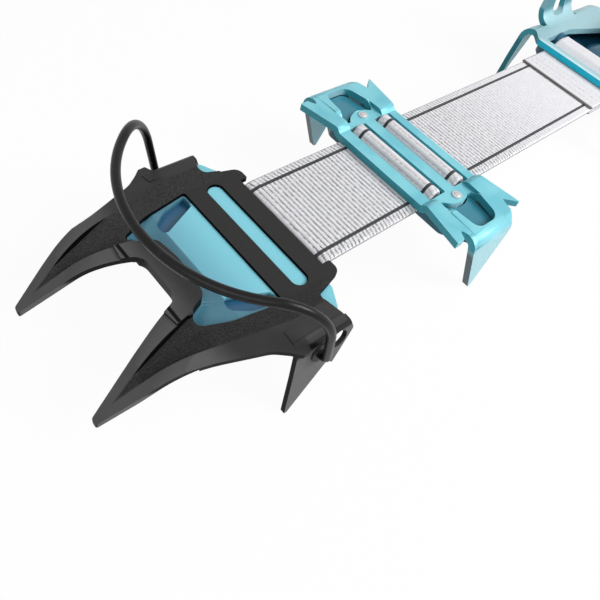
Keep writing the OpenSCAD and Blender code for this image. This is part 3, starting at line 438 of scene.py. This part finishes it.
def woven(name, striped):
    """Woven polyester: ribs across, yarns along, flecks, painted shade in the weave's valleys and along its edges
    and, if striped, two dark lines; the plain loop has a painted shadow at its seam.
    """
    finish = Finish(name, Roughness=0.85, Sheen_Weight=0.25, Specular_IOR_Level=0.2)
    uv = finish.node("ShaderNodeTexCoord", {}, {}).outputs["UV"]
    _, (x, _, z) = finish.place()
    along, across, _ = finish.parts(uv)
    along = along * UV_SPAN
    side = ((across - 0.5) * UV_SPAN).size()
    span = finish.node("ShaderNodeVectorMath", {"operation": "SCALE"},
                       {0: uv, "Scale": UV_SPAN * MM}).outputs[0]
    yarn = side.wave(YARN_PITCH)
    fleck = finish.noise(span, 0.7, 2).ramp(0.55, 0.7)
    speck = finish.noise(span, 1.3, 3)
    cloud = finish.noise(span, 6)
    # Painted shadow line along the webbing's edges
    painted_edge_shadow = side.ramp(STRAP_HALF - 0.45, STRAP_HALF - 0.1)
    if striped:
        margin = side.ramp(STRIPE_OUT - 0.1, STRIPE_OUT + 0.1)
        wavy = along + (speck - 0.5) * RIB_WANDER
        ridge = (wavy.wave(RIB_PITCH) * (1 - margin)
                 + (wavy + (side - STRIPE_OUT) * MARGIN_SLANT).wave(MARGIN_PITCH) * margin)
        # Painted shade in the weave's valleys: weaker towards the heel, where the weave is worn flatter, and
        # weaker over the humps, where it is pulled smooth
        valley_shade_fade = x.ramp(HEEL_BAR_X + 14, MID_BAR_X - 4) * 0.9 + 0.1
        depth = valley_shade_fade * (1 - (z - STRAP_TOP).ramp(0.2, 1.2) * 0.6)
    else:
        ridge = along.wave(PLAIN_PITCH)
        depth = 0.2
    # Painted shade between the ribs and between the yarns
    between = ridge.ramp(0.88, 0.12)
    gap = yarn.ramp(0.9, 0.1)
    painted_valley_shade = (between * (gap * 0.4 + 0.6)).math("MAXIMUM", gap * 0.3)
    painted_valley_shade = painted_valley_shade * (speck.ramp(0.3, 0.65) + 0.42) * depth
    light = finish.mix(cloud, paint(234, 233, 237), paint(246, 245, 249))
    shaded = finish.mix(painted_valley_shade.math("MAXIMUM", painted_edge_shadow * 0.8), light, paint(88, 87, 88))
    flecked = finish.mix(fleck * 0.4 * (depth * 0.7 + 0.3), shaded, paint(140, 138, 148))
    if striped:
        stripe = (side.ramp(STRIPE_IN - 0.12, STRIPE_IN + 0.12)
                  * side.ramp(STRIPE_OUT + 0.12, STRIPE_OUT - 0.12))
        finish.colour(finish.mix(stripe * (0.9 + yarn * 0.1), flecked, paint(42, 45, 48)))
    else:
        # Painted shadow at the front edge of the loop's upper layer, at its seam
        seam_shadow = x.ramp(LOOP_FRONT - 1.2, LOOP_FRONT - 0.8)
        finish.colour(finish.mix(seam_shadow, flecked, paint(126, 124, 124)))
    finish.relief(yarn * 0.5 + ridge * 0.5, 0.12)
    return finish.material


def white_thread():
    """Polyester thread, twisted."""
    finish = Finish("white_thread", Roughness=0.7, Sheen_Weight=0.2, Specular_IOR_Level=0.2)
    where, _ = finish.place()
    twist = finish.noise(where, 0.2)
    finish.colour(finish.mix(twist, paint(216, 215, 220), paint(240, 239, 243)))
    finish.relief(twist, 0.02)
    return finish.material


FINISHES = {
    "black_steel": black_steel(),
    "black_wire": black_wire(),
    "black_nylon": black_nylon(),
    "pale_blue_plate": pale_plate(),
    "webbing": woven("striped_webbing", True),
    "plain_webbing": woven("plain_webbing", False),
    "white_thread": white_thread(),
    "blue_alloy": blue_alloy(),
    "teal_plate": deep_plate("teal_plate", (24, 88, 106), (56, 130, 150), -4, 1),
    "navy_plate": deep_plate("navy_plate", (28, 80, 108), (44, 106, 134), -4, 3),
    "bright_rivet": bright_rivet(),
    "plain_steel": plain_steel(),
    "black_lever": black_lever(),
}


# Edges and finishes of the CAD nodes

# Width of the round on the sharp edges of a node, in millimetres
SHARP = {"front_frame": 0.16, "mid_plate": 0.3, "heel_frame": 0.3, "heel_lever": 0.3,
         "front_guard": 0.2, "mid_guard": 0.2, "heel_guard": 0.2,
         "thumb_wheel": 0.12, "adjust_block": 0.2}
WELD = 0.002                            # corners closer than this are made one
EDGE_ANGLE = math.radians(35)           # flatter edges stay as they are


def break_edges(node, width):
    """Gives the sharp edges of a CAD node the small round that catches light."""
    weld = node.modifiers.new("weld", "WELD")
    weld.merge_threshold = WELD * MM
    bevel = node.modifiers.new("broken_edges", "BEVEL")
    bevel.width = width * MM
    bevel.segments = 2
    bevel.limit_method = "ANGLE"
    bevel.angle_limit = EDGE_ANGLE


for part in frame["record"]["subparts"]:
    node = NODES[part["node"]]
    node.data.materials.clear()
    node.data.materials.append(FINISHES[part["material_slot"]])
    if part["node"] in SHARP:
        break_edges(node, SHARP[part["node"]])


# Webbing, swept along the path of its middle

SELVAGE = 0.7                           # rounding of the webbing's edges
ROW_STEP = 0.32                         # rows of the mesh along the webbing
COLUMNS = 56                            # columns of the mesh over its width
CROWDING = 0.15                         # how much the columns crowd towards the edges
BEND_STEP = 0.1                         # points of the path along a bend


def turn_path(corners):
    """Dense points along a path of corners (x, z, bend radius)."""
    points = [Vector(corners[0][:2])]
    for before, corner, after in zip(corners, corners[1:], corners[2:]):
        here = Vector(corner[:2])
        along = (here - Vector(before[:2])).normalized()
        onward = (Vector(after[:2]) - here).normalized()
        turn = math.acos(max(-1, min(1, along.dot(onward))))
        inward = (onward - along * along.dot(onward)).normalized()
        radius = corner[2]
        centre = here - along * radius * math.tan(turn / 2) + inward * radius
        steps = max(2, math.ceil(turn * radius / BEND_STEP))
        for step in range(steps + 1):
            angle = turn * step / steps
            points.append(centre + (along * math.sin(angle) - inward * math.cos(angle)) * radius)
    points.append(Vector(corners[-1][:2]))
    return points


def even_rows(points, step):
    """Points spaced evenly along a path, each with its direction and distance."""
    lengths = [0]
    for first, second in zip(points, points[1:]):
        lengths.append(lengths[-1] + (second - first).length)
    count = round(lengths[-1] / step)
    rows = []
    index = 0
    for row in range(count + 1):
        distance = lengths[-1] * row / count
        while index < len(points) - 2 and lengths[index + 1] < distance:
            index += 1
        piece = points[index + 1] - points[index]
        share = (distance - lengths[index]) / (lengths[index + 1] - lengths[index])
        rows.append((points[index] + piece * share, piece.normalized(), distance))
    return rows


def ribs(along, across):
    """Height of the striped webbing's weave."""
    side = abs(across)
    if side < STRIPE_IN:
        return RIB_RISE * abs(math.sin(math.pi * along / RIB_PITCH)) ** 0.7
    if side < STRIPE_OUT:
        return RIB_RISE * 0.5
    phase = (along + (side - STRIPE_OUT) * MARGIN_SLANT) / MARGIN_PITCH
    return RIB_RISE * 0.8 * abs(math.sin(math.pi * phase)) ** 0.7


def worn_ribs(along, across):
    """The same weave, worn flatter with the distance from the middle plate."""
    return ribs(along, across) * max(0.2, min(1, 1.3 - along / 60))


def plain_weave(along, across):
    """Height of the plain loop's weave."""
    return PLAIN_RISE * abs(math.sin(math.pi * along / PLAIN_PITCH))


def rise_over_middle(distance, across, thickness, relief):
    """Height of the webbing's face over its middle, rounded off towards the edges."""
    inset = max(0, abs(across) - (STRAP_HALF - SELVAGE)) / SELVAGE
    rounded = (thickness - RIB_RISE) / 2 * math.sqrt(max(0, 1 - inset ** 2))
    return rounded + relief(distance, across) * (1 - inset)


def weave(name, corners, thickness, relief, slot):
    """A strip of webbing with a woven face, closed at both ends."""
    rows = even_rows(turn_path(corners), ROW_STEP)
    shares = [2 * column / COLUMNS - 1 for column in range(COLUMNS + 1)]
    levels = [STRAP_HALF * (CROWDING * math.sin(math.pi / 2 * share) + (1 - CROWDING) * share)
              for share in shares]
    vertices, marks = [], []
    for point, direction, distance in rows:
        normal = Vector((-direction.y, direction.x))
        if direction.x > 0:
            normal = -normal
        for sign, order in ((1, levels), (-1, levels[-2:0:-1])):
            for across in order:
                rise = rise_over_middle(distance, across, thickness, relief)
                spot = point + normal * (sign * rise)
                vertices.append((spot.x * MM, across * MM, spot.y * MM))
                marks.append((distance / UV_SPAN, across / UV_SPAN + 0.5))
    ring = len(vertices) // len(rows)
    last = (len(rows) - 1) * ring
    sides = [(first, (first + 1) % ring) for first in range(ring)]
    faces = [(start + first, start + second, start + ring + second, start + ring + first)
             for start in range(0, last, ring) for first, second in sides]
    faces += [tuple(range(ring))[::-1], tuple(range(last, last + ring))]
    mesh = bpy.data.meshes.new(name)
    mesh.from_pydata(vertices, [], faces)
    layer = mesh.uv_layers.new(name="weave")
    for loop in mesh.loops:
        layer.data[loop.index].uv = marks[loop.vertex_index]
    mesh.shade_smooth()
    mesh.materials.append(FINISHES[slot])
    piece = bpy.data.objects.new(name, mesh)
    bpy.context.scene.collection.objects.link(piece)
    face_outwards(mesh)
    return piece


def face_outwards(mesh):
    """Turns the whole mesh round if its faces look inwards."""
    volume = sum(mesh.vertices[face.vertices[0]].co.dot(face.normal) * face.area
                 for face in mesh.polygons)
    if volume < 0:
        mesh.flip_normals()


SLOT_X = 7.45                           # slots of the middle plate, from its centre bar
SLOT_LENGTH = 9.5                       # their size along the webbing
SLOT_GAP = 0.25                         # room between their edges and the webbing
HUMP_SLOPE = math.radians(58)
HUMP_R, FOOT_R = 1.9, 1.2               # bends at its top and at its foot
SEAT = 0.3                              # the plate lies this far over the webbing
HUMP_EDGE = SLOT_LENGTH / 2 - SLOT_GAP - STRAP_T / 2 / math.sin(HUMP_SLOPE)
HUMP_PEAK = STRAP_TOP + SEAT + HUMP_EDGE * math.tan(HUMP_SLOPE)
HUMP_FOOT = HUMP_EDGE + (SEAT + STRAP_T / 2) / math.tan(HUMP_SLOPE)


def hump(x):
    """Corners of the webbing where it climbs over a rib and out of a slot."""
    return [(x + HUMP_FOOT, STRAP_MID, FOOT_R), (x, HUMP_PEAK, HUMP_R),
            (x - HUMP_FOOT, STRAP_MID, FOOT_R)]


ROD_GAP = 0.15                          # room between a rod and its webbing
SEWN_GAP = 0.05                         # room between two sewn layers
DIP_X = TOE_PIVOT_X - 22.2              # here the webbing drops behind the toe section


def toe_webbing():
    """From the sewn end under the toe section, round its rod and through the front slot."""
    loop = TOE_ROD_R + ROD_GAP + STRAP_T / 2
    front = TOE_ROD.x + loop
    run = TOE_ROD.z + loop
    under = TOE_ROD.z - loop
    sewn = run - STRAP_T + 0.1
    corners = [(TOE_ROD.x - 9, sewn, 0), (TOE_ROD.x - 5.6, sewn, 2), (TOE_ROD.x - 2.5, under, 2),
               (front, under, loop), (front, run, loop),
               (DIP_X + 5.5, run, 6), (DIP_X - 0.6, STRAP_MID, 6),
               *hump(MID_BAR_X + SLOT_X), (MID_BAR_X, STRAP_MID, 0)]
    piece = weave("toe_webbing", corners, STRAP_T, ribs, "webbing")
    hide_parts("front_strap", "mid_strap")
    (TOE_FOLD_X + 6) * MM
    (TOE_FOLD_X - 6) * MM
    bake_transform(piece)


def heel_webbing():
    """From the centre bar through the rear slot to the seam and under the heel bar."""
    corners = [(MID_BAR_X, STRAP_MID, 0), *hump(MID_BAR_X - SLOT_X),
               (REAR_LOW.x, STRAP_MID, 0)]
    piece = weave("heel_webbing", corners, STRAP_T, worn_ribs, "webbing")
    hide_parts("rear_strap")
    (HEEL_FOLD_X + 6) * MM
    (HEEL_FOLD_X - 6) * MM
    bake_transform(piece)


def loop_webbing():
    """Plain loop sewn over the end of the webbing and round the heel rod."""
    turn = HEEL_ROD_R + ROD_GAP + LOOP_T / 2
    back = HEEL_ROD.x - turn
    top = HEEL_ROD.z + turn
    under = HEEL_ROD.z - turn
    over = STRAP_TOP + SEWN_GAP + LOOP_T / 2
    beneath = STRAP_TOP - STRAP_T - SEWN_GAP - LOOP_T / 2
    corners = [(LOOP_FRONT, over, 0), (HEEL_BAR_X - 7, over, 4), (HEEL_BAR_X - 13, top, 4),
               (back, top, turn), (back, under, turn),
               (HEEL_BAR_X - 13, under, 3), (HEEL_BAR_X - 10, beneath, 3),
               (LOOP_FRONT, beneath, 0)]
    piece = weave("loop_webbing", corners, LOOP_T, plain_weave, "plain_webbing")
    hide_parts("heel_loop")
    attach(piece, "heel_section")


toe_webbing()
heel_webbing()
loop_webbing()


# Rows of stitches, rivet heads and grip ridges

def rows_tree():
    """Low, long beads in rows over a rectangle, as one mesh."""
    tree = bpy.data.node_groups.new("bead_rows", "GeometryNodeTree")
    for name, kind in (("Middle", "Vector"), ("Tilt", "Vector"), ("Length", "Float"),
                       ("Width", "Float"), ("Rows", "Int"), ("Beads", "Int"),
                       ("Bead", "Vector"), ("Finish", "Material")):
        tree.interface.new_socket(name, in_out="INPUT", socket_type="NodeSocket" + kind)
    tree.interface.new_socket("Geometry", in_out="OUTPUT", socket_type="NodeSocketGeometry")

    def add(kind, **inputs):
        node = tree.nodes.new(kind)
        for socket, value in inputs.items():
            socket = node.inputs[socket.replace("_", " ")]
            if isinstance(value, bpy.types.NodeSocket):
                tree.links.new(value, socket)
            else:
                socket.default_value = value
        return node

    given = tree.nodes.new("NodeGroupInput").outputs
    grid = add("GeometryNodeMeshGrid", Size_X=given["Length"], Size_Y=given["Width"],
               Vertices_X=given["Rows"], Vertices_Y=given["Beads"])
    bead = add("GeometryNodeMeshUVSphere", Segments=20, Rings=10, Radius=1)
    beads = add("GeometryNodeInstanceOnPoints", Points=grid.outputs["Mesh"],
                Instance=bead.outputs["Mesh"], Scale=given["Bead"])
    mesh = add("GeometryNodeRealizeInstances", Geometry=beads.outputs["Instances"])
    placed = add("GeometryNodeTransform", Geometry=mesh.outputs["Geometry"],
                 Translation=given["Middle"], Rotation=given["Tilt"])
    smooth = add("GeometryNodeSetShadeSmooth", Geometry=placed.outputs["Geometry"])
    finished = add("GeometryNodeSetMaterial", Geometry=smooth.outputs[0],
                   Material=given["Finish"])
    tree.links.new(finished.outputs["Geometry"], tree.nodes.new("NodeGroupOutput").inputs[0])
    return tree


BEAD_ROWS = rows_tree()


def bead_rows(name, slot, finish, body, **values):
    """A plain mesh of bead rows that rides a body. Sizes are in metres."""
    carrier = bpy.data.objects.new(name + "_rows", bpy.data.meshes.new(name + "_rows"))
    bpy.context.scene.collection.objects.link(carrier)
    modifier = carrier.modifiers.new("rows", "NODES")
    modifier.node_group = BEAD_ROWS
    values["Finish"] = FINISHES[finish]
    for socket in BEAD_ROWS.interface.items_tree:
        if socket.in_out == "INPUT" and socket.name in values:
            modifier[socket.identifier] = values[socket.name]
    depsgraph = bpy.context.evaluated_depsgraph_get()
    mesh = bpy.data.meshes.new_from_object(carrier.evaluated_get(depsgraph))
    bpy.data.objects.remove(carrier)
    piece = bpy.data.objects.new(name, mesh)
    bpy.context.scene.collection.objects.link(piece)
    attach(piece, body)


def mm(*numbers):
    """Millimetres as metres."""
    return tuple(number * MM for number in numbers)


# Stitches of the loop's seam
SEAM_X = (LOOP_FRONT + HEEL_BAR_X) / 2 - 1
SEAM_LENGTH, SEAM_WIDTH = 13, 38
STITCH = (0.2, 0.9, 0.08)
bead_rows("loop_stitches", "plain_webbing", "white_thread", "heel_section",
          Middle=mm(SEAM_X, 0, STRAP_TOP + SEWN_GAP + LOOP_T), Tilt=(0.0, 0.0, 0.0),
          Length=SEAM_LENGTH * MM, Width=SEAM_WIDTH * MM, Rows=4, Beads=16, Bead=mm(*STITCH))

# Heads of the two rivets that show beside the slots
RIVET_HEAD = (1.45, 1.45, 0.4)
bead_rows("rivet_heads", "bright_rivet", "bright_rivet", "middle_section",
          Middle=mm(MID_BAR_X, 0, RIVETS_HIGH.z), Tilt=(0.0, 0.0, 0.0),
          Length=0.0, Width=2 * RIVET_Y * MM, Rows=1, Beads=2, Bead=mm(*RIVET_HEAD))

# Grip ridges on the sloping end of the lever
LEVER_HIGH = box_mm("heel_lever")[1]
GRIP_SLOPE = math.radians(10.2)
GRIP_LENGTH = 8
RIDGE = (0.55, 7.5, 0.5)
bead_rows("lever_grips", "black_lever", "black_lever", "heel_lever",
          Middle=mm(LEVER_HIGH.x - 9, 0, LEVER_HIGH.z - 1.3), Tilt=(0.0, GRIP_SLOPE, 0.0),
          Length=GRIP_LENGTH * MM, Width=0.0, Rows=5, Beads=1, Bead=mm(*RIDGE))


# Scene, camera and light

# The camera's place is in millimetres
CAMERA_PLACE = (TOE_PIVOT_X + 91.24, 93.58, STRAP_TOP + 150.14)
CAMERA_FORWARD = (-0.50164, -0.34022, -0.79537)
CAMERA_UP = (-0.44566, -0.68639, 0.57468)
CAMERA_LENS = 35.1
SENSOR_WIDTH = 36


def set_camera():
    """A camera ahead of the toe, to its left and above it."""
    scene = bpy.context.scene
    scene.view_settings.view_transform = "Standard"
    place = Vector(mm(*CAMERA_PLACE))
    forward = Vector(CAMERA_FORWARD)
    up = Vector(CAMERA_UP)
    right = forward.cross(up).normalized()
    up = right.cross(forward).normalized()
    camera = bpy.data.objects.new("camera", bpy.data.cameras.new("camera"))
    camera.data.lens = CAMERA_LENS
    camera.data.sensor_width = SENSOR_WIDTH
    camera.data.clip_start = 0.005
    camera.matrix_world = Matrix((
        (right.x, up.x, -forward.x, place.x),
        (right.y, up.y, -forward.y, place.y),
        (right.z, up.z, -forward.z, place.z),
        (0, 0, 0, 1)))
    scene.collection.objects.link(camera)
    scene.camera = camera


LIT_SPOT = (0.03, 0, 0.02)              # both lamps face this place, in metres


def add_lamp(name, spot, size, watts):
    """A soft lamp. Its place and size are in metres."""
    lamp = bpy.data.objects.new(name, bpy.data.lights.new(name, "AREA"))
    lamp.data.shape = "RECTANGLE"
    lamp.data.size, lamp.data.size_y = size
    lamp.data.energy = watts
    lamp.location = spot
    aim = Vector(LIT_SPOT) - Vector(spot)
    lamp.rotation_euler = aim.to_track_quat("-Z", "Y").to_euler()
    bpy.context.scene.collection.objects.link(lamp)


def seen_directly(tree):
    """1 for camera, glossy and transmission rays, 0 for the rays that light the object."""
    path = tree.nodes.new("ShaderNodeLightPath")
    total = path.outputs["Is Camera Ray"]
    for name in ("Is Glossy Ray", "Is Transmission Ray"):
        larger = tree.nodes.new("ShaderNodeMath")
        larger.operation = "MAXIMUM"
        tree.links.new(total, larger.inputs[0])
        tree.links.new(path.outputs[name], larger.inputs[1])
        total = larger.outputs[0]
    return total


SKY_DARK, SKY_LIGHT = 0.05, 0.5         # strength of the sky's darker and brighter sides
SKY_SIDE = (-0.3, 0.8, 0.5)             # the brighter side
SKY_FROM, SKY_TO = -0.4, 0.6            # where the change between them starts and ends


def add_world():
    """White where it is seen. It lights the object more from one side."""
    world = bpy.data.worlds.new("studio")
    bpy.context.scene.world = world
    world.use_nodes = True
    tree = world.node_tree
    strength = tree.nodes.new("ShaderNodeMapRange")
    toward = tree.nodes.new("ShaderNodeVectorMath")
    toward.operation = "DOT_PRODUCT"
    tree.links.new(tree.nodes.new("ShaderNodeTexCoord").outputs["Generated"], toward.inputs[0])
    toward.inputs[1].default_value = SKY_SIDE
    side = tree.nodes.new("ShaderNodeMapRange")
    for socket, value in (("From Min", SKY_FROM), ("From Max", SKY_TO),
                          ("To Min", SKY_DARK), ("To Max", SKY_LIGHT)):
        side.inputs[socket].default_value = value
    tree.links.new(toward.outputs["Value"], side.inputs["Value"])
    tree.links.new(side.outputs[0], strength.inputs["To Min"])
    strength.inputs["To Max"].default_value = 1
    tree.links.new(seen_directly(tree), strength.inputs["Value"])
    background = tree.nodes["Background"]
    background.inputs["Color"].default_value = (1, 1, 1, 1)
    tree.links.new(strength.outputs[0], background.inputs["Strength"])


FLOOR_REACH = 3                         # half the floor's size, in metres
FLOOR_GREY = (0.85, 0.85, 0.85, 1)
FLOOR_GLOW = 0.95                       # share of plain white where the floor is seen


def add_floor():
    """A white floor that keeps a faint shadow of the object."""
    finish = Finish("studio_floor", Base_Color=FLOOR_GREY, Roughness=0.9, Specular_IOR_Level=0)
    glow = finish.node("ShaderNodeEmission", {}, {"Strength": 1.0})
    share = finish.node("ShaderNodeMath", {"operation": "MULTIPLY"},
                        {0: seen_directly(finish.tree), 1: FLOOR_GLOW})
    blend = finish.node("ShaderNodeMixShader", {},
                        {0: share.outputs[0], 1: finish.shader.outputs[0], 2: glow.outputs[0]})
    finish.tree.links.new(blend.outputs[0], finish.tree.nodes["Material Output"].inputs["Surface"])
    mesh = bpy.data.meshes.new("floor")
    corners = [(x * FLOOR_REACH, y * FLOOR_REACH, 0)
               for x, y in ((-1, -1), (1, -1), (1, 1), (-1, 1))]
    mesh.from_pydata(corners, [], [(0, 1, 2, 3)])
    mesh.materials.append(finish.material)
    floor = bpy.data.objects.new("floor", mesh)
    bpy.context.scene.collection.objects.link(floor)


set_camera()
add_world()
add_lamp("key", (-0.42, 0.62, 0.72), (0.5, 0.5), 8.8)
add_lamp("fill", (0.7, 0.3, 0.7), (0.8, 0.6), 2.6)
add_floor()
